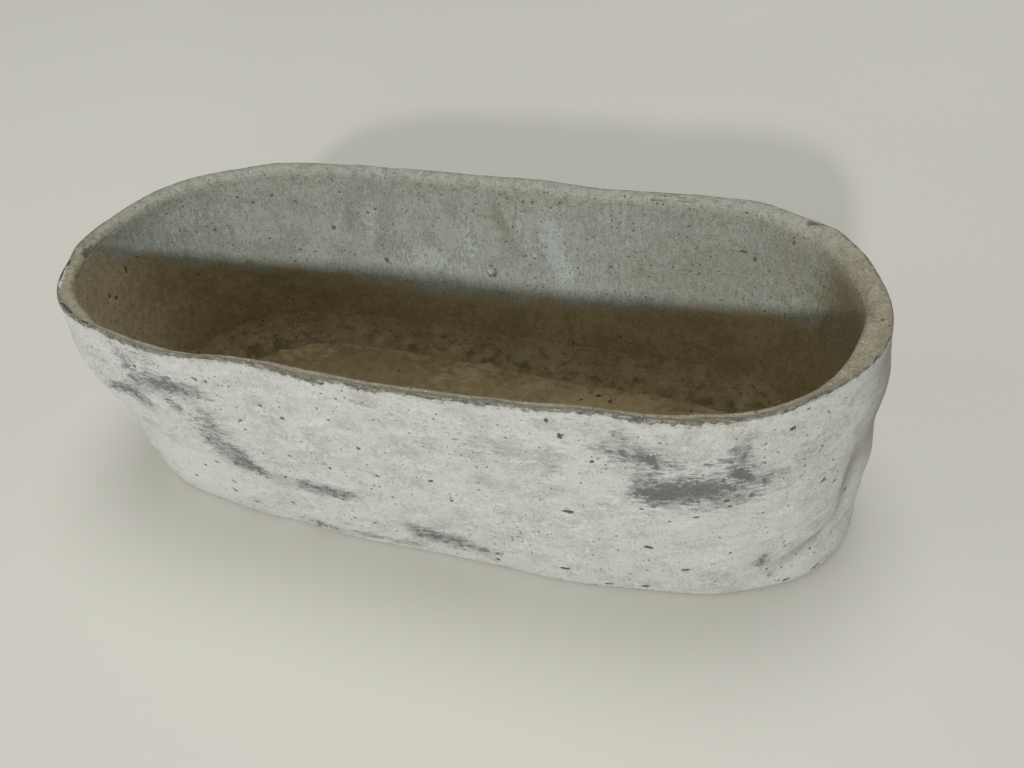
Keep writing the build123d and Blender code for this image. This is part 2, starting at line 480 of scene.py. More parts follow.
# Limewash on the outside, with the places where it has worn down to the slip
limewash = {
    "pieces": {
        "limewash_back_right": (0.0, 0.25),
        "limewash_back_left": (0.25, 0.5),
        "limewash_front_left": (0.5, 0.75),
        "limewash_front_right": (0.75, 1.0),
    },
    "columns": 460,
    "rows": 190,
    "thickness": 0.5,
    "hiddenThickness": 2.0,
    "edgeFade": 2.0,  # way from its top edge to where it is thick
    "thickens": (5.0, 11.0),  # depths below the rim between which it grows thicker behind
    "lowEdge": 0.5,
    "topEdge": 0.4,
    # worn places: around, level, long, tall, tilt, strength
    "worn": [
        (801, 69, 9, 7, 4, 1.05), (811, 72, 10, 8, 6, 0.76), (823, 72, 9, 7, 0, 0.88),
        (810, 67, 18, 5, 2, 0.35), (832, 79, 6, 8, 0, 0.78), (833, 91, 5, 9, -8, 0.6),
        (823, 87, 7, 6, 20, 0.36), (842, 75, 9, 4.5, 8, 0.66), (836, 67, 12, 3, 6, 0.35),
        (826, 61, 16, 2.8, 12, 0.42), (784, 91, 9, 3.5, -10, 0.52), (789, 99, 4, 5, -20, 0.42),
        (788, 86, 8, 6, -15, 0.32), (798, 90, 9, 6, -20, 0.8), (805, 87, 8, 3.5, -8, 0.42),
        (797, 79, 5, 6, -25, 0.38), (548, 73, 8, 4, 10, 0.54), (557, 76, 9, 4, 10, 0.7),
        (566, 71, 8, 5, -35, 0.68), (574, 84, 12, 6, 5, 0.5), (588, 87, 12, 6, 0, 0.74),
        (600, 88, 10, 5, -4, 0.48), (611, 86, 8, 4, -8, 0.36), (566, 97, 6, 10, 0, 0.46),
        (580, 92, 22, 9, 0, 0.14), (594, 68, 12, 14, -35, 0.22), (612, 50, 16, 11, -30, 0.16),
        (655, 38, 22, 7, 0, 0.14), (583, 102, 9, 5, 0, 0.42), (587, 73, 5, 3.5, -35, 0.68),
        (602, 73, 5, 6, -40, 0.4), (606, 64, 7, 6, -40, 0.42), (597, 58, 7, 6, -30, 0.4),
        (600, 50, 8, 5, -30, 0.48), (610, 51, 6, 4, -25, 0.56), (603, 42, 8, 5, -30, 0.42),
        (612, 42, 8, 4.5, -22, 0.72), (618, 38, 7, 4, -20, 0.62), (640, 35, 8, 3.8, 0, 0.56),
        (652, 35, 10, 4.2, 0, 0.76), (664, 36, 8, 3.4, 0, 0.58), (692, 22, 8, 5, -10, 0.52),
        (699, 16, 9, 5, -5, 0.88), (711, 15, 9, 5, 0, 0.72), (723, 12, 9, 3.6, 0, 0.66),
        (640, 5, 9, 2.6, 0, 0.64), (664, 6, 10, 2.6, 0, 0.72), (686, 5, 10, 2.4, 0, 0.66),
        (846, 21, 4.0, 6.0, 0, 0.8), (850, 10, 5, 3, 0, 0.42), (718, 93, 16, 6, 0, 0.26),
        (738, 86, 18, 7, 0, 0.26), (762, 79, 14, 6, 0, 0.22), (690, 100, 14, 4, 0, 0.3),
        (775, 104, 14, 3, 0, 0.3), (812, 103, 12, 3, 0, 0.26), (860, 84, 16, 10, 0, 0.24),
        (872, 66, 10, 14, 0, 0.22), (70, 62, 14, 8, 5, 0.72), (84, 68, 12, 6, -8, 0.6),
        (98, 66, 12, 4, 0, 0.46), (160, 80, 18, 6, 4, 0.6), (186, 76, 14, 5, 0, 0.55),
        (206, 70, 10, 4, -10, 0.4), (228, 38, 16, 6, -4, 0.75), (246, 34, 16, 6, 0, 0.72),
        (266, 31, 14, 4, 0, 0.52), (300, 58, 12, 5, 0, 0.46), (338, 88, 14, 6, 6, 0.66),
        (356, 84, 14, 6, 0, 0.62), (392, 46, 12, 8, 0, 0.66), (404, 38, 9, 5, 0, 0.5),
        (428, 74, 12, 6, 0, 0.5), (470, 40, 10, 6, 0, 0.45), (20, 88, 10, 5, 0, 0.42),
        (140, 12, 24, 4, 0, 0.58), (320, 9, 20, 4, 0, 0.52),
    ],
    # where fine pinholes gather
    "pinned": [
        (735, 26, 46, 22, 0, 0.8), (800, 16, 30, 12, 0, 0.7), (700, 78, 30, 16, 0, 0.45),
        (610, 96, 22, 8, 0, 0.5), (850, 60, 26, 30, 0, 0.35), (120, 40, 60, 26, 0, 0.6),
        (330, 40, 60, 30, 0, 0.6),
    ],
    # holes: around, level, long, tall, tilt, depth
    "holes": [
        (609, 96, 1.9, 0.9, -35, 1.1), (645, 79.5, 1.2, 0.9, -20, 0.9), (679, 71, 0.9, 0.8, 0, 0.7),
        (581, 30.5, 1.3, 0.8, 0, 0.8), (595, 23, 1.3, 0.7, -20, 0.8), (619, 34, 1.6, 0.6, -20, 0.7),
        (766, 50.5, 2.4, 0.95, 0, 1.2), (798, 32.5, 2.1, 0.95, -8, 1.2),
        (814, 19, 2.2, 0.9, 4, 1.1), (762, 11, 2.6, 0.8, 0, 0.9), (781, 3.4, 2.0, 0.7, 0, 0.8),
        (797, 4.0, 2.0, 0.8, 0, 0.8), (731, 11.5, 1.9, 0.7, 0, 0.9), (873, 3.5, 3.0, 0.9, 12, 1.2),
        (858, 3.2, 1.8, 0.8, 8, 0.9), (851, 98, 1.2, 1.1, 0, 0.9), (778, 83.5, 1.0, 0.8, 0, 0.7),
        (796, 58.5, 1.1, 0.7, 0, 0.6), (817, 54.5, 1.6, 0.7, 0, 0.7), (868, 62, 1.5, 0.9, 20, 0.9),
        (767, 96, 1.0, 1.5, 10, 0.9), (763, 104, 0.8, 1.0, 0, 0.7), (40, 52, 1.8, 1.0, 0, 1.0),
        (112, 36, 2.2, 0.9, 0, 1.1), (150, 66, 1.4, 1.0, 20, 0.9), (205, 88, 1.2, 1.0, 0, 0.9),
        (222, 52, 2.4, 1.0, 5, 1.2), (281, 20, 2.2, 0.9, 0, 1.0), (310, 78, 1.3, 0.9, 0, 0.8),
        (365, 30, 1.9, 1.0, -10, 1.0), (410, 92, 1.2, 1.0, 0, 0.8), (448, 22, 1.8, 0.9, 10, 1.0),
        (505, 60, 1.3, 0.9, 0, 0.8),
    ],
    # painted shade along the crease and over the right end, and painted light on the lip below it and
    # low on the front near both ends: around, level, long, tall, tilt, strength
    "paintedShading": [
        (866, 18.5, 24, 4.0, 22, 0.75), (888, 46, 4.5, 19, 0, 0.75), (906, 74, 20, 30, 0, 0.95),
        (908, 102, 24, 8, 0, 0.6), (872, 8, 26, 4.0, 16, -0.8), (572, 24, 30, 18, 0, -1.2),
        (838, 30, 22, 12, 0, -0.5),
    ],
    "smallHoles": (190, 46, 3, 104),  # how many, seed, lowest, highest
    # where the rim's edge has lost its limewash: around, reach, width
    "bare": [
        (531, 5, 4.2), (549, 4, 2.6), (562, 9, 1.4), (580, 12, 1.2), (604, 8, 0.7), (648, 10, 0.9),
        (674, 14, 1.9), (695, 12, 1.6), (716, 9, 1.2), (738, 7, 0.8), (756, 8, 1.7), (783, 12, 1.4),
        (806, 12, 1.7), (826, 10, 1.9), (845, 7, 1.5), (868, 8, 0.8), (60, 20, 1.2), (150, 30, 1.3),
        (260, 25, 1.5), (350, 26, 1.2), (440, 16, 1.3), (500, 13, -0.6),
    ],
    "wornDepth": 0.2,
    "edgeRound": (1.6, 0.45),  # reach, depth
    # relief: step round, step up, size, seed
    "relief": [(2.2, 1.8, 0.05, 51), (12.0, 3.0, 0.07, 52), (6.0, 1.5, 0.05, 53)],
}

layerGap = 0.03  # between one layer and the next
# hidden rows behind a skin, as shares of its height: closer at the edges
hiddenShares = np.array([1.0, 0.99, 0.97, 0.94, 0.88, 0.7, 0.4, 0.15, 0.05, 0.0])[None, :]


# How far below the rim the limewash begins: broken up where it is bare, finely ragged all round
def washTop(around):
    w = limewash
    fine = edgeNoise(around, 1.1, 41)
    broken = 0.45 + 0.45 * fine + 0.8 * edgeNoise(around, 6.0, 42)
    broken = np.clip(broken, 0, 1.6)
    bare = bells(around, w["bare"])
    finer = edgeNoise(around, 0.6, 44)
    depth = w["topEdge"] + 0.75 * bare * np.where(bare > 0, broken, 1)
    return np.maximum(depth + 0.2 * fine + (0.1 + 0.15 * np.maximum(bare, 0)) * finer, 0.15)


def washThickness(around, below):
    w = limewash
    edge = smooth(0.0, w["edgeFade"], below - washTop(around))
    more = (w["hiddenThickness"] - w["thickness"]) * smooth(*w["thickens"], below)
    return edge * (w["thickness"] + more)


# Small holes scattered over the wall, in the same rows as the listed ones
def scatterHoles(count, seed, lowest, highest):
    pick = np.random.default_rng(seed)
    around = pick.uniform(0, girth, count)
    level = pick.uniform(lowest, highest, count)
    radius = 0.35 + 0.5 * pick.uniform(0, 1, count) ** 2.5
    longer = pick.uniform(1.0, 2.1, count)
    tilt = pick.uniform(-25, 25, count)
    return list(zip(around, level, radius * longer, radius, tilt, radius * 1.1))


holeReach = 8  # millimetres; a hole further off than this is left out


# Holes as 1 at the middle of an oval, 0 at its edge and less outside, and the deepest of them
def holesAt(around, level, rows):
    nearest = np.full(np.broadcast(around, level).shape, -2.0)
    depth = np.zeros(nearest.shape)
    ragged = 0.25 * softNoise(around, level, 1.1, 0.9, 45)
    for centre, *oval, deep in rows:
        if np.abs(gapAround(around, centre)).min() > holeReach:
            continue
        away = np.hypot(*ovalShares(around, level, centre, *oval)) + ragged
        nearest = np.maximum(nearest, 1 - away)
        depth = np.maximum(depth, deep * smooth(1.25, 0.35, away))
    return nearest, depth


def edgeIn(below):
    reach, depth = limewash["edgeRound"]
    return depth * smooth(reach, 0.0, below)


# One column more at each end gives the normals of the seams, and then goes
def limewashPiece(name, start, stop, paint):
    w = limewash
    step = (stop - start) / w["columns"]
    around = np.linspace(start - step, stop + step, w["columns"] + 3)[:, None]
    up = np.linspace(0, 1, w["rows"] + 1)
    up = (up - 0.012 * np.sin(2 * np.pi * up))[None, :]  # closer rows at both edges
    edge = washTop(around)
    top = rimTop(around) - edge
    level = w["lowEdge"] + (top - w["lowEdge"]) * up
    below = top - level
    hole, holeDepth = holesAt(around, level, w["holes"] + scatterHoles(*w["smallHoles"]))
    worn = mounds(around, level, w["worn"])
    inset = holeDepth + w["wornDepth"] * smooth(0.3, 0.8, worn)
    for stepAround, stepUp, size, seed in w["relief"]:
        inset = inset - size * softNoise(around, level, stepAround, stepUp, seed) * smooth(0, 3, below)
    outer = outerFace(around, level, inset + edgeIn(below))
    innerLevel = w["lowEdge"] + (top - w["lowEdge"]) * hiddenShares
    behind = layerGap + washThickness(around, edge + top - innerLevel) + edgeIn(top - innerLevel)
    inner = outerFace(around, innerLevel, behind)
    hidden = innerLevel.shape[1]
    normals = np.zeros((w["columns"] + 1, level.shape[1] + hidden, 3))
    normals[:, : w["rows"] + 1] = gridNormals(outer)[1:-1]
    grids = {
        "worn": padRows(worn, hidden),
        "pinned": padRows(mounds(around, level, w["pinned"]), hidden),
        "paintedShading": padRows(mounds(around, level, w["paintedShading"]), hidden),
        "hole": padRows(hole, hidden, -2.0),
        "below": padRows(below, hidden, 20.0),
        "level": np.concatenate([level, innerLevel], axis=1),
    }
    fields = {key: grid[1:-1] for key, grid in grids.items()}
    piece = sectionMesh(name, np.concatenate([outer, inner], axis=1)[1:-1], False, fields)
    piece.data.normals_split_custom_set_from_vertices(normals.reshape(-1, 3).tolist())
    fit(piece, "limewash", paint)


def limewashPaint():
    material, p = newPaint("limewash")
    worn, pinned, hole = p.fields("worn", "pinned", "hole")
    below, level, paintedShading = p.fields("below", "level", "paintedShading")
    broad = p.noise(38, 3, 0.55)
    cloud = p.noise(13, 4, 0.6, shift=0.3)
    brush = p.noise(5.0, 4, 0.6, along=3.0, shift=0.9, twist=0.6, rise=8)
    mist = p.noise(4.2, 4, 0.65, shift=0.7, twist=0.4)
    clot = p.noise(2.2, 3, 0.7, along=1.5, shift=0.35, rise=6)
    stroke = p.noise(1.0, 4, 0.7, along=7, twist=0.3, rise=5)
    hair = p.noise(0.7, 3, 0.7, along=10, shift=0.1, rise=-9)
    grain = p.noise(0.9, 3, 0.65, shift=0.2)
    grit = p.noise(1.9, 3, 0.7, shift=0.8)
    bare = (cloud * 0.5 + broad * 0.3 + mist * 0.2).step(0.46, 0.57)
    p.body = p.mix(tone(203, 205, 201), tone(192, 192, 184), bare)
    p.lay((220, 223, 223), (brush * 0.4 + cloud * 0.3 + mist * 0.3).step(0.49, 0.59) * 0.6)
    p.lay((172, 172, 165), (brush * 0.3 + mist * 0.7).step(0.49, 0.38) * 0.42)
    p.lay((162, 159, 148), (grit * 0.6 + cloud * 0.4).step(0.52, 0.62) * 0.38)
    p.lay((160, 161, 158), (stroke * 0.5 + clot * 0.5).step(0.54, 0.64) * 0.45)
    p.lay((136, 135, 126), grain.step(0.53, 0.68) * (bare * 0.4 + 0.22))
    p.lay((234, 235, 232), grain.step(0.46, 0.32) * 0.35)
    fray = (stroke - 0.5) * 3.0 + (hair - 0.5) * 2.6 + (mist - 0.5) * 1.5 + (clot - 0.5) * 1.9
    fray = fray * (worn.step(0.0, 0.45) * 0.5 + 0.5)
    veil = (worn + (cloud - 0.5) * 1.2 + fray * 0.5).step(0.10, 0.60)
    p.lay((168, 169, 169), veil * 0.6)
    thin = (worn + fray * 0.95 + (grain - 0.5) * 1.2).step(0.36, 0.88)
    drawn = (hair * 0.4 + stroke * 0.35 + grain * 0.25).step(0.44, 0.57)
    grey = p.mix(tone(105, 106, 107), tone(146, 146, 146), drawn)
    scratched = (stroke * 0.4 + hair * 0.4 + clot * 0.2).step(0.53, 0.61)
    grey = p.mix(grey, tone(184, 185, 184), scratched * 0.6)
    core = (worn + (mist - 0.5) * 3.0 + (clot - 0.5) * 2.2 + (stroke - 0.5) * 2.0).step(0.64, 1.25)
    grey = p.mix(grey, tone(84, 85, 87), core * 0.75)
    chalk = p.marks(2.2, 0.6, 0.4, shift=0.4) * worn.step(0.5, 0.9)
    grey = p.mix(grey, tone(222, 223, 221), chalk * 0.8)
    p.body = p.mix(p.body, grey, thin * 0.9)
    # painted shade along the crease and over the right end, painted light on the lip below the crease
    # and low on the front near both ends
    shadingMask = paintedShading + (mist - 0.5) * 0.6
    p.lay((134, 130, 119), shadingMask.step(0.1, 1.0) * 0.7)
    p.lay((214, 215, 211), shadingMask.step(-0.1, -0.8) * 0.5)
    edge = (below + (hair - 0.5) * 5.0 + (grit - 0.5) * 7.0 + (clot - 0.5) * 6.0).step(2.0, -0.4)
    edgeTone = p.mix(tone(150, 147, 134), tone(100, 98, 88), grit.step(0.46, 0.54))
    p.body = p.mix(p.body, edgeTone, edge * 0.8)
    pins = p.marks(2.5, 0.66, pinned * 0.5 + (mist - 0.5) * 2.0 + 0.24, shift=0.5)
    points = p.marks(1.5, 0.38, pinned * 0.3 + (clot - 0.5) * 1.6 + 0.34, shift=0.9)
    dots = p.marks(7.0, 0.95, 0.34, along=1.6, shift=0.6)
    p.lay((124, 122, 112), points * 0.6)
    p.lay((118, 116, 103), pins * 0.85)
    p.lay((112, 110, 100), dots * 0.8)
    pit = (hole + (grain - 0.5) * 0.8).step(-0.06, 0.24)
    p.lay((104, 102, 93), pit)
    foot = (level + (cloud - 0.5) * 6.0 + (mist - 0.5) * 4.0).step(3.4, 0.2)
    p.lay((168, 167, 158), foot * 0.35)
    height = grain * 0.16 + clot * 0.15 + stroke * 0.15 + mist * 0.25 + brush * 0.25
    height = height - pins * 0.35 - dots * 0.45
    p.finish(0.86 - thin * 0.14, height - pit * 0.2 - thin * 0.08)
    return material


# Dark cement slip, seen where the limewash stops short of the rim
slip = {
    "columns": 1840,
    "lowEdge": 3.0,
    "thickness": 0.7,
    "edgeFade": 1.6,
    "depths": [0.0, 0.12, 0.3, 0.55, 0.85, 1.2, 1.7, 2.3, 3.0, 4.0, 5.5, 8.0, 13.0],  # of its rows
    "hiddenRows": 10,
    "rough": [(1.6, 1.2, 0.06, 61)],  # step round, step up, size, seed
}


# How far below the rim the slip begins: always a little above the limewash
def slipTop(around):
    return np.clip(0.25 + 0.1 * edgeNoise(around, 2.4, 43), 0.05, washTop(around) - 0.08)


def slipThickness(around, below):
    return slip["thickness"] * smooth(0.0, slip["edgeFade"], below - slipTop(around))


def slipPiece():
    s = slip
    around = columnsRound(s["columns"])
    level = rimTop(around) - slipTop(around) - np.array(s["depths"])[None, :]
    low = np.linspace(1, 0, s["hiddenRows"] + 1)[None, 1:]
    level = np.concatenate([level, s["lowEdge"] + (level[:, -1:] - s["lowEdge"]) * low], axis=1)
    below = rimTop(around) - level
    base = layerGap + washThickness(around, below)
    shown = smooth(0.2, 1.0, below) * (1 - smooth(5, 8, below))
    outer = outerFace(around, level, base - roughen(0.0, around, level, s["rough"]) * shown)
    behind = base + layerGap + slipThickness(around, below)
    inner = outerFace(around, level[:, ::-1], behind[:, ::-1])
    piece = sectionMesh("grey_slip", np.concatenate([outer, inner], axis=1), True)
    fit(piece, "grey_slip", slipPaint())


def slipPaint():
    material, p = newPaint("grey slip")
    grain = p.noise(0.6, 3, 0.65)
    cloud = p.noise(4, 3, 0.6, shift=0.1)
    streak = p.noise(0.9, 3, 0.6, along=5.0)
    p.body = p.mix(tone(96, 95, 88), tone(128, 125, 113), cloud.step(0.42, 0.58))
    p.lay((186, 185, 177), (streak * 0.5 + grain * 0.5).step(0.50, 0.58) * 0.7)
    p.lay((72, 71, 66), grain.step(0.58, 0.70) * 0.5)
    p.finish(0.84, grain * 0.14 + streak * 0.12)
    return material


# Colours of the inside, shared by the rim and the skim so that they run into each other.
# "Inward" is the way in millimetres from the outer edge over the rim and down the inside
inside = {
    # height above the floor of the line below which the inside is olive-brown, partly a real stain and
    # partly painted shade that follows the shadow of the front rim: around, level
    "stainAndShade": [
        (0, 76), (60, 71), (90, 63), (130, 58), (190, 53), (245, 50), (300, 50), (350, 54), (400, 66),
        (430, 81), (455, 102), (480, 120), (500, 126), (530, 122), (556, 94), (590, 70), (640, 58),
        (800, 56), (880, 66), (920, 76),
    ],
    # cooler, paler places, partly rubbed wear and partly painted light on the lit side of the folds:
    # around, level, long, tall, tilt, strength
    "rubbedAndLit": [
        (246, 76, 8, 12, 0, 0.8), (273, 62, 22, 9, 0, 0.95), (197, 84, 6, 14, 8, 1.35),
        (191, 66, 6, 12, -6, 1.7), (308, 82, 5, 15, 8, 0.8), (213, 84, 6, 13, -14, 0.6),
        (330, 90, 14, 8, 30, 0.4), (398, 86, 20, 10, 30, 0.5), (426, 94, 16, 14, 0, 0.9),
        (372, 104, 9, 4, 0, 0.6), (150, 84, 22, 8, 0, 0.5), (110, 70, 26, 10, 0, 0.45),
        (84, 92, 12, 6, 20, 0.5), (300, 44, 20, 6, 0, 0.4), (600, 80, 40, 14, 0, 0.5),
        (740, 76, 50, 16, 0, 0.5),
    ],
    # warmer, browner, darker places, in the same columns: partly the cement's own colour, partly
    # painted shade on the shaded side of the folds and over dimmer stretches of the wall
    "warmAndShade": [
        (320, 84, 4, 16, 8, 0.9), (225, 84, 3.5, 15, -14, 0.9), (290, 98, 10, 6, 0, 0.5),
        (236, 94, 10, 6, 0, 0.3), (70, 96, 16, 14, 20, 0.9), (120, 104, 30, 4, 0, 0.4),
        (360, 96, 16, 8, 0, 0.35), (430, 96, 14, 12, 0, 0.5), (112, 76, 50, 28, 0, 0.75),
    ],
    # the ends: the right end, where the inside is browner and darker all over, partly its own colour
    # and partly painted shade of the end wall that faces away from the key; and the left end, where the
    # painted shade below the shadow line is paler and softer: around, far, near
    "brownEnd": (0, 88, 26),
    "lighterShadeEnd": (494, 64, 22),
}


def endShare(around, centre, far, near):
    return smooth(far, near, np.abs(gapAround(around, centre)))


# What the colours of the inside follow, at each point of a grid
def insideFields(around, level):
    heights = np.array(inside["stainAndShade"], float)
    line = np.interp(around % girth, heights[:, 0], heights[:, 1])
    return {
        "aboveShadeLine": level - line,
        "brown": endShare(around, *inside["brownEnd"]) + 0 * level,
        "lighterShade": endShare(around, *inside["lighterShadeEnd"]) + 0 * level,
        "back": backShare(around) + 0 * level,
        "rubbedAndLit": mounds(around, level, inside["rubbedAndLit"]),
        "warmAndShade": mounds(around, level, inside["warmAndShade"]),
    }


def insideColour(p):
    inward, aboveShadeLine, brown, back = p.fields("inward", "aboveShadeLine", "brown", "back")
    lighterShade, rubbedAndLit, warmAndShade = p.fields("lighterShade", "rubbedAndLit", "warmAndShade")
    grain = p.noise(0.9, 3, 0.65)
    grit = p.noise(1.7, 3, 0.7, shift=0.1)
    mottle = p.noise(4.0, 4, 0.65, shift=0.2)
    cloud = p.noise(14, 4, 0.55, shift=0.3)
    brush = p.noise(4.0, 4, 0.65, along=0.35, shift=0.4, twist=0.5)
    streaked = (cloud * 0.5 + brush * 0.5).step(0.42, 0.58)
    p.body = p.mix(tone(155, 161, 152), tone(177, 183, 174), streaked)
    # pale places: partly rubbed wear, partly painted light on the lit side of the folds
    pale = (rubbedAndLit + (mottle - 0.5) * 2.6 + (brush - 0.5) * 2.6).step(0.3, 1.1)
    p.lay((196, 205, 204), pale * 0.65)
    # warmer, darker places: partly the cement's own colour, partly painted shade on the shaded side of
    # the folds
    dull = (warmAndShade + (cloud - 0.5) * 2.0 + (mottle - 0.5) * 1.6).step(0.1, 1.0)
    p.lay((143, 141, 122), dull * 0.7)
    # browner and darker at the right end: partly its own colour, partly painted shade of the end wall
    # that faces away from the key
    p.lay((128, 118, 92), (brown + (mottle - 0.5) * 0.8 + (cloud - 0.5) * 0.9).step(0.2, 0.95))
    clouded = (cloud * 0.5 + mottle * 0.5).step(0.42, 0.58)
    olive = p.mix(tone(162, 148, 110), tone(144, 130, 94), clouded)
    olive = p.mix(olive, tone(126, 112, 76), brown * 0.45)
    # paler tone for the painted shade at the left end, where more light falls
    lighterShadeTone = p.mix(tone(188, 175, 141), tone(172, 158, 124), mottle.step(0.42, 0.60))
    olive = p.mix(olive, lighterShadeTone, lighterShade * 0.9)
    # painted shade, partly a real stain: below the line that follows the front rim's shadow the inside
    # turns olive-brown, paler and softer at the left end
    stainAndShade = (aboveShadeLine * (1.0 - lighterShade * 0.4) + (cloud - 0.5) * 16 + (mottle - 0.5) * 8).step(-1, -13)
    p.body = p.mix(p.body, olive, stainAndShade)
    coarse = (mottle * 0.6 + cloud * 0.4).step(0.44, 0.58)
    bareFront = p.mix(tone(164, 156, 134), tone(146, 138, 115), coarse)
    gritty = (mottle * 0.6 + grit * 0.4).step(0.45, 0.60)
    bareBack = p.mix(tone(172, 173, 161), tone(148, 148, 136), gritty)
    bare = p.mix(bareFront, bareBack, back * (1.0 - brown * 0.8))
    wide = back * 6.0 + brown * 4.0 + 8.0
    ragged = (mottle * 0.6 + cloud * 0.4 - 0.5) * 60.0 * back
    over = (wide - inward + ragged + (grit - 0.5) * 8.0).step(-9.0, 7.0)
    p.body = p.mix(p.body, bare, over)
    p.lay((96, 92, 76), (grain * 0.7 + grit * 0.3).step(0.52, 0.66) * 0.62)
    p.lay((204, 204, 192), grain.step(0.46, 0.32) * 0.45 * (1.0 - stainAndShade * 0.7))
    share = (mottle - 0.45) * 1.8 + 0.26
    flecks = p.marks(2.2, 0.62, share, shift=0.5)
    points = p.marks(1.4, 0.40, share + 0.12, shift=0.9)
    dots = p.marks(6.5, 0.95, 0.30, shift=0.6)
    p.lay((92, 89, 74), points * 0.6)
    p.lay((82, 78, 63), flecks * 0.7)
    p.lay((80, 76, 62), dots * 0.75)
    height = grain * 0.18 + grit * 0.20 + mottle * 0.25 + brush * 0.20 - flecks * 0.3 - dots * 0.4
    return height, grain, grit


# The cement wall itself. What shows is its rim, and its foot below the skins
band = {
    "columns": 1280,
    "roundSteps": 8,
    "topSteps": 9,
    "topWidth": 6.0,
    "foot": 3.0,
    # rows down each side, as depths below the rim where the wall is its full height
    "hiddenDepths": [*np.linspace(100, 20, 12), 12.0, 9.0, 6.5, 5.0, 4.0, 3.2, 2.5, 2.0],
    "footOut": [(0.0, 1.7), (0.3, 0.9), (0.9, 0.55), (2.0, 0.4)],  # level, way in
    "footIn": [(6.0, 0.3), (0.0, 0.3)],
    "rough": [(2.6, 2.2, 0.14, 71), (1.4, 1.3, 0.10, 72)],  # step round, step in, size, seed
    # ways in between which the rim has chips, and between which it is rough
    "chipped": (-4.0, -1.5, 12.0, 16.0),
    "roughened": (-1.5, 0.5, 6.0, 9.0),
    "flakes": (505, 0.3, 10, 1.8),  # pale: around, way in from the outer edge, long, wide
    # chips in the rim: around, way in, long, wide, depth, colour (1 is dark)
    "chips": [
        (472, 5.5, 7, 2.2, 0.9, 0.35), (477, 7.5, 6, 2.0, 1.2, 1.0), (531, 0.4, 6, 1.6, 1.2, 0.9),
        (549, 0.2, 3.0, 1.2, 1.0, 0.9), (512, 0.3, 3, 1.0, 0.9, 0.5), (500, 0.6, 4, 1.2, 0.8, 0.1),
        (489, 0.4, 3, 1.0, 0.9, 0.2), (67, 5.0, 3.2, 1.8, 0.9, 0.8), (141, 7.8, 7, 0.4, 0.6, 0.7),
        (127, 7.4, 5, 0.35, 0.5, 0.6), (376, 3.0, 2.0, 1.4, 0.8, 0.5),
        (331, 2.0, 2.4, 1.2, 0.6, 0.6),
    ],
}


# Depth of the chips, and how dark they are
def chipsAt(around, inward):
    depth = np.zeros(np.broadcast(around, inward).shape)
    dark = np.zeros(depth.shape)
    ragged = 0.35 * softNoise(around, inward, 2.0, 1.6, 74)
    for centre, way, long, wide, deep, colour in band["chips"]:
        away = np.hypot(gapAround(around, centre) / long, (inward - way) / wide) + ragged
        depth = np.maximum(depth, deep * smooth(1.15, 0.6, away))
        dark = np.maximum(dark, colour * smooth(1.2, 0.8, away))
    return depth, dark


# How far the band's inner face lies behind the skim's: hardly at the rim, more below
def skimInset(below):
    return 0.04 + smooth(2.2, 6.0, below) * (0.56 + 1.4 * smooth(6.0, 14.0, below))


# Ways over the rim and down the inside, from the outer edge
def inwardOf(depth):
    return band["topWidth"] + 1.3 * depth


# A closed section: up the outside, round the rim's outer edge, over the top, round the lip
# and down the inside
def bandPiece():
    b = band
    around = columnsRound(b["columns"])
    ones = np.ones_like(around)
    top = rimTop(around)
    quarter = 1 - np.sin(np.linspace(0, np.pi / 2, b["roundSteps"] + 1))[None, :]
    hidden = np.array(b["hiddenDepths"])[None, :]
    tall = (top - b["foot"]) / (trough["height"] - b["foot"])
    outDepth = np.concatenate([hidden * tall, form["rimRound"] * quarter * ones], axis=1)
    inset = 2 * layerGap + washThickness(around, outDepth) + slipThickness(around, outDepth)
    outer = outerFace(around, top - outDepth, inset)
    lip = lipAt(around)
    downInside = lip + 0.4 + (hidden[:, ::-1] - hidden[0, -1]) * tall
    inDepth = np.concatenate([lip * quarter[:, ::-1], downInside], axis=1)
    inner = innerFace(around, top - inDepth, skimInset(inDepth))
    share = np.linspace(0, 1, b["topSteps"] + 1)[1:-1][None, :]
    bridge = outer[:, -1:] * (1 - share[..., None]) + inner[:, :1] * share[..., None]
    inward = np.concatenate([-outDepth, b["topWidth"] * share * ones, inwardOf(inDepth)], axis=1)
    points = np.concatenate([outer, bridge, inner], axis=1)
    seen = within(b["chipped"], inward)
    depth, dark = chipsAt(around, inward)
    rough = roughen(0.0, around, inward, b["rough"])
    flat = within(b["roughened"], inward)
    points[..., 2] -= depth * seen + np.maximum(rough + 0.05, -0.15) * flat
    points[..., 2] = np.minimum(points[..., 2], trough["height"])
    first = [outerFace(around, z * ones, way * ones) for z, way in b["footOut"]]
    last = [innerFace(around, z * ones, way * ones) for z, way in b["footIn"]]
    points = np.concatenate(first + [points] + last, axis=1)
    flakeAround, flakeInward, long, wide = b["flakes"]
    flake = bells(around, [(flakeAround, long, 1.0)])
    flake = flake * np.exp(-(((inward - flakeInward) / wide) ** 2))
    before, after = len(first), len(last)
    fields = {
        "dark": padRows(dark * seen, after, 0.0, before),
        "inward": padRows(inward, after, -50.0, before),
        "flake": padRows(flake, after, 0.0, before),
    }
    levels = np.concatenate([top - outDepth, top * np.ones_like(share), top - inDepth], axis=1)
    for key, grid in insideFields(around, levels).items():
        fields[key] = padRows(grid, after, 0.0, before)
    piece = sectionMesh("wall_band", points, True, fields)
    fit(piece, "wall_band", bandPaint())


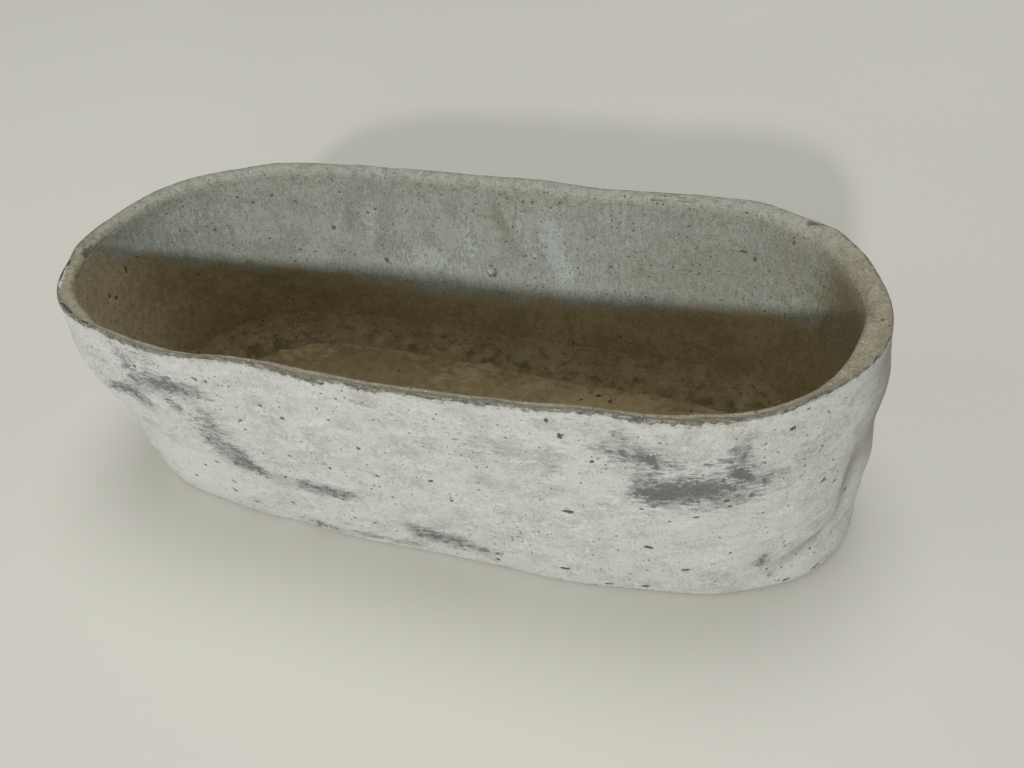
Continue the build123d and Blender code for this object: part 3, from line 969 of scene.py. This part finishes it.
def bandPaint():
    material, p = newPaint("bare cement")
    height, grain, grit = insideColour(p)
    dark, inward, flake, brown, back = p.fields("dark", "inward", "flake", "brown", "back")
    outerEdge = (inward + (grit - 0.5) * 8.0 + (grain - 0.5) * 5.0).step(3.0, 0.2)
    edgeTone = p.mix(tone(124, 120, 106), tone(98, 95, 83), grit.step(0.46, 0.56))
    p.body = p.mix(p.body, edgeTone, outerEdge * (1.0 - brown * 0.7) * (0.8 - back * 0.45))
    p.lay((146, 145, 136), dark.step(0.02, 0.2) * 0.7)
    p.lay((108, 105, 94), (dark + (grit - 0.5) * 1.6).step(0.35, 0.8))
    p.lay((214, 213, 204), (flake + (grit - 0.5) * 3.0).step(0.35, 0.6) * 0.85)
    p.finish(0.9, height + grit * 0.1)
    return material


# Skim on the inside of the wall
skim = {
    "columns": 1000,
    "rows": 88,
    "topEdge": 2.0,
    "lowEdge": 13.0,
    "knob": (235, 59, 2.1, 1.3),  # around, level, radius, height
    "hiddenShares": [1.0, 0.98, 0.94, 0.86, 0.6, 0.3, 0.0],  # of the height
    "grain": [(3.4, 4.6, 0.06, 82), (1.7, 1.7, 0.05, 83)],  # step round, step up, size, seed
    # pits: around, level, long, tall, tilt, depth
    "holes": [
        (333, 74, 1.5, 1.6, 0, 0.8), (302, 57, 1.4, 1.8, 0, 0.9), (308, 85, 1.3, 1.2, 0, 0.3),
        (254, 61, 0.9, 0.9, 0, 0.7), (299, 87, 1.2, 0.6, -20, 0.6), (264, 86, 2.2, 0.5, -35, 0.5),
        (91, 85, 0.9, 1.8, 0, 0.8), (97, 87, 2.2, 0.7, 0, 0.6), (72, 100, 1.1, 1.1, 0, 0.7),
        (376, 92, 1.0, 1.0, 0, 0.6), (401, 81, 1.4, 1.1, 0, 0.6), (352, 90, 1.1, 0.9, 0, 0.6),
        (283, 88, 0.9, 0.9, 0, 0.5), (214, 70, 0.9, 1.0, 0, 0.6), (160, 66, 0.9, 0.9, 0, 0.6),
        (118, 72, 1.0, 1.0, 0, 0.6), (460, 86, 1.0, 2.2, 10, 0.6), (482, 84, 1.6, 1.4, 0, 0.6),
        (478, 80, 2.2, 1.2, 20, 0.5), (560, 60, 1.2, 1.0, 0, 0.8), (640, 75, 1.0, 1.2, 0, 0.8),
        (720, 50, 1.3, 1.0, 0, 0.8), (800, 82, 1.0, 1.0, 0, 0.8),
    ],
    "smallHoles": (120, 84, 16, 104),  # how many, seed, lowest, highest
}


# A small round knob, 1 at its top, with a dent of -0.45 along its lower edge
def knobAt(around, level):
    centre, height, radius, _ = skim["knob"]
    away = np.hypot(gapAround(around, centre), level - height) / radius
    shade = np.hypot(gapAround(around, centre - 0.5), level - height + 0.3) / radius
    ring = np.exp(-(((shade - 1.25) / 0.22) ** 2)) * smooth(0.95, 1.15, away)
    return smooth(1.15, 0.6, away) - 0.45 * ring


def skimPiece():
    s = skim
    around = columnsRound(s["columns"])
    up = 1 - np.linspace(1, 0, s["rows"] + 1)[None, :] ** 1.5  # closer rows at the top
    top = rimTop(around) - s["topEdge"] - 0.5 - 0.5 * edgeNoise(around, 5.0, 81)
    level = s["lowEdge"] + (top - s["lowEdge"]) * up
    below = rimTop(around) - level
    hole, holeDepth = holesAt(around, level, s["holes"] + scatterHoles(*s["smallHoles"]))
    knob = knobAt(around, level)
    raised = s["knob"][3] * knob + roughen(0.0, around, level, s["grain"])
    sunk = 0.22 * smooth(1.3, 0.0, top - level)
    push = (holeDepth - raised) * smooth(0, 3, below - s["topEdge"]) + sunk
    outer = innerFace(around, level, push)
    backLevel = s["lowEdge"] + (top - s["lowEdge"]) * np.array(s["hiddenShares"])[None, :]
    behind = skimInset(rimTop(around) - backLevel) - 0.02
    back = innerFace(around, backLevel, behind + 0.26 * smooth(3.0, 0.0, top - backLevel))
    hidden = backLevel.shape[1]
    fields = {
        "hole": padRows(hole, hidden, -2.0),
        "knob": padRows(knob, hidden),
        "inward": padRows(inwardOf(below), hidden, 60.0),
    }
    for key, grid in insideFields(around, level).items():
        fields[key] = padRows(grid, hidden)
    piece = sectionMesh("inner_skim", np.concatenate([outer, back], axis=1), True, fields)
    fit(piece, "inner_skim", skimPaint())


def skimPaint():
    material, p = newPaint("grey skim")
    height, grain, grit = insideColour(p)
    hole, knob = p.fields("hole", "knob")
    pit = (hole + (grain - 0.5) * 1.0).step(0.0, 0.3)
    p.lay((104, 102, 90), pit * 0.9)
    # painted shade in the dent along the knob's lower edge, and a painted highlight on its top
    p.lay((88, 84, 70), knob.step(-0.06, -0.25) * 0.8)
    p.lay((200, 201, 193), knob.step(0.3, 0.9) * 0.7)
    p.finish(0.88, height - pit * 0.2)
    return material


# Mortar pointed along the inside corner
bead = {
    "columns": 1000,
    "rows": 22,
    "climb": 15.0,  # up the wall, from the floor
    "reach": 12.5,  # over the floor, from the wall
    "under": [(1.0, 8.0), (0.5, 7.6), (0.0, 7.6)],  # share of the reach, level
    "lumps": [(4.5, 3.0, 0.5, 93), (2.0, 1.6, 0.25, 94)],  # step round, step down, size, seed
    "lumpy": (0.0, 0.2, 0.85, 1.0),  # shares of the way down between which it has lumps
    # where it spreads further over the floor: around, reach, width
    "spread": [
        (395, 26, 5.0), (345, 24, 3.0), (120, 30, 3.0), (70, 30, 4.0), (20, 30, 4.0),
        (440, 30, 6.0), (620, 40, 3.0), (800, 40, 3.0),
    ],
    # where it was left rough
    "rough": [(402, 22, 1.2), (446, 26, 0.5), (60, 30, 0.5), (240, 40, 0.45), (700, 50, 0.5)],
}


def beadReach(around):
    slow = 1.3 * edgeNoise(around, 26.0, 91)
    rough = bells(around, bead["rough"])
    fine = (0.5 + 1.1 * rough) * edgeNoise(around, 4.5, 92)
    fine = fine + (0.25 + 0.3 * rough) * edgeNoise(around, 1.9, 95)
    return bead["reach"] + slow + fine + bells(around, bead["spread"])


# Section of the bead: a hollow curve from the wall at its top to the floor at its reach
def beadPiece():
    b = bead
    around = columnsRound(b["columns"])
    share = np.linspace(0, 1, b["rows"] + 1)[None, :]
    reach = beadReach(around)
    height = trough["floorTop"] - 0.2 + b["climb"] * (1 - share) ** 2.8
    rough = bells(around, b["rough"])
    lumps = roughen(0.0, around, share * 14, b["lumps"]) * (0.25 + rough)
    height = height + lumps * within(b["lumpy"], share)
    height = height + 0.35 * smooth(1.0, 0.82, share) - 0.9 * smooth(0.9, 1.0, share)
    sunk = 0.3 * smooth(0.16, 0.0, share)
    top = innerFace(around, height, sunk - reach * share**1.5 - 0.1)
    underShare, underLevel = np.array(b["under"]).T[:, None, :]
    under = innerFace(around, underLevel + 0 * around, 0.6 - reach * underShare * 0.98)
    backLevel = trough["floorTop"] + b["climb"] - 0.4
    backUp = innerFace(around, backLevel + 0 * around, 0.9 + 0 * around)
    hidden = len(b["under"]) + 1
    fields = {
        "lump": padRows(lumps, hidden),
        "share": padRows(share + 0 * around, hidden, 1.0),
        "rough": padRows(rough + 0 * share, hidden),
        "inward": np.full((b["columns"], b["rows"] + 1 + hidden), 60.0),
    }
    for key, grid in insideFields(around, height).items():
        fields[key] = padRows(grid, hidden)
    points = np.concatenate([top, under, backUp], axis=1)
    piece = sectionMesh("corner_bead", points, True, fields)
    fit(piece, "corner_bead", beadPaint())


def beadPaint():
    material, p = newPaint("corner mortar")
    height, grain, grit = insideColour(p)
    lump, share, rough = p.fields("lump", "share", "rough")
    cloud = p.noise(12, 4, 0.6, shift=0.1)
    blot = p.noise(3.4, 4, 0.7, along=2.4, shift=0.2)
    low = (share + (cloud - 0.5) * 1.2 + (blot - 0.5) * 1.0).step(0.12, 0.75)
    p.lay((128, 115, 82), low * 0.75)
    ragged = (blot - 0.5) * 4.0 + (grain - 0.5) * 1.5
    raised = rough * 0.35 + share.step(0.30, 0.80) * 0.5 - lump * 0.5
    p.lay((84, 75, 50), (ragged + raised).step(0.15, 1.05) * 0.75)
    p.lay((150, 137, 103), (grain * 0.5 + blot * 0.5).step(0.46, 0.36) * 0.35)
    p.lay((146, 132, 98), (share + (blot - 0.5) * 0.6).step(0.90, 1.02) * 0.6)
    p.finish(0.92, height + blot * 0.3)
    return material


# Floor slab
slab = {
    "columns": 720,
    "rings": 80,
    "bottomRings": 24,
    "innermost": 0.004,  # share of the plan that its middle ring takes up
    "underside": 0.05,
    "sunk": 0.3,
    "edgeGap": 0.2,  # from the inner face of the wall
    "uneven": [(30, 0.45, 101), (9, 0.15, 102), (3.2, 0.06, 103)],  # step, size, seed
    # pits: x, y, radius, depth
    "pits": [
        (61, 39, 1.5, 0.9), (68, 36, 1.4, 0.9), (57, 41, 0.9, 0.6), (110, 37, 1.2, 0.7),
        (53, 34, 1.0, 0.6), (74, 33, 0.9, 0.6), (-54, 35, 1.0, 0.6), (-20, 10, 1.3, 0.8),
        (30, -30, 1.5, 0.9), (-90, -12, 1.2, 0.8), (130, -8, 1.3, 0.8),
    ],
    # darker places: x, y, long, wide, strength
    "darkPatch": [
        (-70, 30, 50, 24, 1.2), (-110, 0, 40, 30, 0.8), (60, 46, 90, 8, 0.5),
        (120, 10, 30, 30, 0.6),
    ],
}


# Soft noise over the plan
def planNoise(x, y, step, seed):
    size = 160
    heights = np.random.default_rng(seed).uniform(-1, 1, (size, size))
    return latticeNoise(x / step + size / 2, y / step + size / 2, heights)


# A disc of rings: each ring is the inside of the wall, shrunk towards the middle
def slabPiece():
    s = slab
    around = columnsRound(s["columns"])
    flat = 0 * around
    edge = innerFace(around, trough["floorTop"] + flat, s["edgeGap"] + flat)[:, 0, :2]
    centre = edge.mean(axis=0)
    reach = (edge - centre)[:, None, :]
    topXy = centre + reach * np.linspace(s["innermost"], 1, s["rings"])[None, :, None]
    x, y = topXy[..., 0], topXy[..., 1]
    height = trough["floorTop"] - s["sunk"]
    for step, size, seed in s["uneven"]:
        height = height + size * planNoise(x, y, step, seed)
    hole = np.full(x.shape, -2.0)
    for px, py, radius, depth in s["pits"]:
        away = np.hypot(x - px, y - py) / radius
        hole = np.maximum(hole, 1 - away)
        height = height - depth * smooth(1.2, 0.3, away)
    upper = np.concatenate([topXy, height[..., None]], axis=-1)
    bottomXy = centre + reach * np.linspace(1, s["innermost"], s["bottomRings"])[None, :, None]
    lower = np.concatenate([bottomXy, s["underside"] + 0 * bottomXy[..., :1]], axis=-1)
    darkPatch = 0 * x
    for px, py, long, wide, strength in s["darkPatch"]:
        darkPatch = darkPatch + strength * np.exp(-(((x - px) / long) ** 2) - ((y - py) / wide) ** 2)
    hidden = s["bottomRings"]
    fields = {"hole": padRows(hole, hidden, -2.0), "darkPatch": padRows(darkPatch, hidden)}
    piece = sectionMesh("floor_slab", np.concatenate([upper, lower], axis=1), True, fields)
    fit(piece, "floor_slab", slabPaint())


def slabPaint():
    material, p = newPaint("floor cement")
    hole, darkPatch = p.fields("hole", "darkPatch")
    grain = p.noise(1.0, 3, 0.7)
    cloud = p.noise(26, 4, 0.5, shift=0.1)
    mottle = p.noise(5.0, 4, 0.6, shift=0.2)
    p.body = p.mix(tone(156, 141, 104), tone(140, 126, 92), cloud.step(0.42, 0.58))
    p.lay((124, 111, 78), mottle.step(0.48, 0.66) * 0.4)
    p.lay((168, 154, 118), mottle.step(0.50, 0.34) * 0.3)
    darkMask = (darkPatch + (mottle - 0.5) * 2.0 + (cloud - 0.5) * 1.5).step(0.1, 0.9)
    mottled = (mottle * 0.5 + grain * 0.5).step(0.40, 0.62)
    darkTone = p.mix(tone(132, 118, 84), tone(116, 103, 73), mottled)
    p.body = p.mix(p.body, darkTone, darkMask * 0.85)
    p.lay((104, 92, 64), grain.step(0.53, 0.68) * 0.55)
    pins = p.marks(2.4, 0.6, (mottle - 0.45) * 1.8 + 0.24)
    dots = p.marks(8.0, 1.0, 0.35, shift=0.3)
    p.lay((86, 76, 52), (pins * 0.7).larger(dots * 0.8))
    pit = (hole + (grain - 0.5) * 0.5).step(0.0, 0.25)
    p.lay((60, 52, 34), pit * 0.9)
    p.finish(0.9, grain * 0.08 + mottle * 0.18 - pins * 0.3 - dots * 0.35)
    return material


washPaint = limewashPaint()
for name, (start, stop) in limewash["pieces"].items():
    limewashPiece(name, start * girth, stop * girth, washPaint)
slipPiece()
bandPiece()
skimPiece()
beadPiece()
slabPiece()

# Studio: a pale floor, a soft key from the front, a weak fill from the left, a broad lamp
# high up behind, and a pale world. Azimuths are degrees to the right of straight in front
studio = {
    "floorSize": 12.0,
    "floorColours": ((0.745, 0.735, 0.665, 1), (0.775, 0.765, 0.695, 1)),
    # azimuth, height in degrees, size, power, colour
    "lamps": {
        "key": (6.0, 21.6, 0.2, 41.0, (1.0, 0.987, 0.965)),
        "fill": (-62.0, 30.0, 1.8, 8.0, (1.0, 0.99, 0.97)),
        "high": (180.0, 74.0, 1.8, 30.0, (1.0, 0.995, 0.985)),
    },
    "lampDistance": 3.0,
    "lampTarget": (0, 0, 0.06),
    "worldColour": (0.235, 0.236, 0.232, 1.0),
    "backdrop": (0.62, 0.615, 0.59, 1.0),
}


def buildFloor():
    half = studio["floorSize"] / 2
    mesh = bpy.data.meshes.new("floor")
    corners = [(-half, -half, 0), (half, -half, 0), (half, half, 0), (-half, half, 0)]
    mesh.from_pydata(corners, [], [(0, 1, 2, 3)])
    floor = bpy.data.objects.new("floor", mesh)
    bpy.context.scene.collection.objects.link(floor)
    material, p = newPaint("pale floor")
    soft = p.noise(900, 2, 0.5)
    p.body = p.mix(*studio["floorColours"], soft.step(0.4, 0.6))
    p.finish(0.7, soft * 0.1)
    mesh.materials.append(material)


def lamp(name, azimuth, elevation, size, power, colour):
    data = bpy.data.lights.new(name, "AREA")
    data.shape = "DISK"
    data.size, data.energy, data.color = size, power, colour
    holder = bpy.data.objects.new(name, data)
    a, e = math.radians(azimuth), math.radians(elevation)
    way = Vector((math.sin(a) * math.cos(e), -math.cos(a) * math.cos(e), math.sin(e)))
    holder.location = way * studio["lampDistance"] + Vector(studio["lampTarget"])
    holder.rotation_mode = "QUATERNION"
    holder.rotation_quaternion = way.to_track_quat("Z", "Y")
    bpy.context.scene.collection.objects.link(holder)


# The world lights the trough with one colour, and the camera and gloss see another
def buildWorld():
    world = bpy.data.worlds.new("pale room")
    world.use_nodes = True
    bpy.context.scene.world = world
    p = Paint(world.node_tree)
    rays = p.add("LightPath")
    seen = rays.larger(rays.also("Is Glossy Ray")).larger(rays.also("Is Transmission Ray"))
    lit = p.add("Background", sockets={0: studio["worldColour"]})
    shown = p.add("Background", sockets={0: studio["backdrop"]})
    p.add("OutputWorld", sockets={0: p.add("MixShader", sockets={0: seen, 1: lit, 2: shown})})


buildFloor()
for name, settings in studio["lamps"].items():
    lamp(name, *settings)
buildWorld()
print("studio ready")

# Camera at the photograph's place, found from the rim and foot of the trough
view = {
    "width": 1024,
    "focal": 881.4,  # pixels
    "sensor": 36.0,
    "pitch": 0.71558,
    "roll": -0.13043,
    "yaw": 0.40804,
    "shift": (-23.252, 29.084, 463.011),
}


# Turns trough axes into camera axes: yaw about the upright, a look down, then a roll
def viewTurn():
    cy, sy = math.cos(view["yaw"]), math.sin(view["yaw"])
    cp, sp = math.cos(view["pitch"]), math.sin(view["pitch"])
    cr, sr = math.cos(view["roll"]), math.sin(view["roll"])
    turn = np.array([[cy, sy, 0], [-sy, cy, 0], [0, 0, 1]])
    base = np.array([[1, 0, 0], [0, 0, -1], [0, 1, 0]])
    down = np.array([[1, 0, 0], [0, cp, -sp], [0, sp, cp]])
    rolled = np.array([[cr, -sr, 0], [sr, cr, 0], [0, 0, 1]])
    return rolled @ down @ base @ turn


def buildCamera():
    turned = viewTurn()
    spot = (-turned.T @ np.array(view["shift"]) - middle) / perMetre
    data = bpy.data.cameras.new("camera")
    data.sensor_fit = "HORIZONTAL"
    data.sensor_width = view["sensor"]
    data.lens = view["focal"] * view["sensor"] / view["width"]
    data.clip_start = 0.01
    data.clip_end = 50
    camera = bpy.data.objects.new("camera", data)
    axes = turned * np.array([[1], [-1], [-1]])  # a camera looks down its own -Z
    camera.matrix_world = Matrix([[*axes[:, row], spot[row]] for row in range(3)] + [[0, 0, 0, 1]])
    bpy.context.scene.collection.objects.link(camera)
    bpy.context.scene.camera = camera
    bpy.context.scene.view_settings.view_transform = "Standard"


buildCamera()
